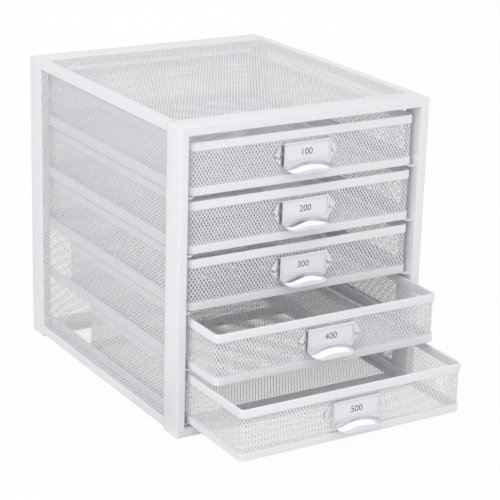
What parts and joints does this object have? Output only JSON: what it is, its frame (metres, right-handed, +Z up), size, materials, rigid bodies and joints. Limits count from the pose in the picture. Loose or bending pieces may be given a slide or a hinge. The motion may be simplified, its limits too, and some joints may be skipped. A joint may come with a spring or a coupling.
{
  "type": "desktop drawer cabinet",
  "caption": "Desktop cabinet of white steel tube and expanded metal with sliding mesh drawers, each with a label frame and a finger cup.",
  "frame": {"origin": "on the floor, in the middle of the front frame's underside", "axes": "+Z up, the drawers open toward -Y, +X to the right seen from the front"},
  "size_m": [0.29, 0.4553, 0.32],
  "materials": {
    "white_powder_coat": "satin powder coat",
    "bright_steel": "bright plated pressed steel",
    "card": "matt"
  },
  "bodies": {
    "cabinet": {"front_frame": "white_powder_coat", "rear_frame": "white_powder_coat", "upper_side_rails": "white_powder_coat", "lower_side_rails": "white_powder_coat", "left_side_net": "white_powder_coat", "right_side_net": "white_powder_coat", "top_net": "white_powder_coat", "back_net": "white_powder_coat", "runners_1": "white_powder_coat", "runners_2": "white_powder_coat", "runners_3": "white_powder_coat", "runners_4": "white_powder_coat", "runners_5": "white_powder_coat"},
    "drawer_1": {"drawer_1_top_rim": "white_powder_coat", "drawer_1_bottom_rim": "white_powder_coat", "drawer_1_wall_net": "white_powder_coat", "drawer_1_floor_net": "white_powder_coat", "drawer_1_handle": "bright_steel", "drawer_1_label_card": "card", "drawer_1_rivets": "bright_steel"},
    "drawer_2": {"drawer_2_top_rim": "white_powder_coat", "drawer_2_bottom_rim": "white_powder_coat", "drawer_2_wall_net": "white_powder_coat", "drawer_2_floor_net": "white_powder_coat", "drawer_2_handle": "bright_steel", "drawer_2_label_card": "card", "drawer_2_rivets": "bright_steel"},
    "drawer_3": {"drawer_3_top_rim": "white_powder_coat", "drawer_3_bottom_rim": "white_powder_coat", "drawer_3_wall_net": "white_powder_coat", "drawer_3_floor_net": "white_powder_coat", "drawer_3_handle": "bright_steel", "drawer_3_label_card": "card", "drawer_3_rivets": "bright_steel"},
    "drawer_4": {"drawer_4_top_rim": "white_powder_coat", "drawer_4_bottom_rim": "white_powder_coat", "drawer_4_wall_net": "white_powder_coat", "drawer_4_floor_net": "white_powder_coat", "drawer_4_handle": "bright_steel", "drawer_4_label_card": "card", "drawer_4_rivets": "bright_steel"},
    "drawer_5": {"drawer_5_top_rim": "white_powder_coat", "drawer_5_bottom_rim": "white_powder_coat", "drawer_5_wall_net": "white_powder_coat", "drawer_5_floor_net": "white_powder_coat", "drawer_5_handle": "bright_steel", "drawer_5_label_card": "card", "drawer_5_rivets": "bright_steel"}
  },
  "joints": [
    {"name": "drawer_1_slide", "type": "slide", "parent": "cabinet", "child": "drawer_1", "axis": [0, -1, 0], "range_m": [0, 0.24]},
    {"name": "drawer_2_slide", "type": "slide", "parent": "cabinet", "child": "drawer_2", "axis": [0, -1, 0], "range_m": [0, 0.24]},
    {"name": "drawer_3_slide", "type": "slide", "parent": "cabinet", "child": "drawer_3", "axis": [0, -1, 0], "range_m": [0, 0.24]},
    {"name": "drawer_4_slide", "type": "slide", "parent": "cabinet", "child": "drawer_4", "axis": [0, -1, 0], "range_m": [-0.0551, 0.1849]},
    {"name": "drawer_5_slide", "type": "slide", "parent": "cabinet", "child": "drawer_5", "axis": [0, -1, 0], "range_m": [-0.1051, 0.1349]}
  ]
}
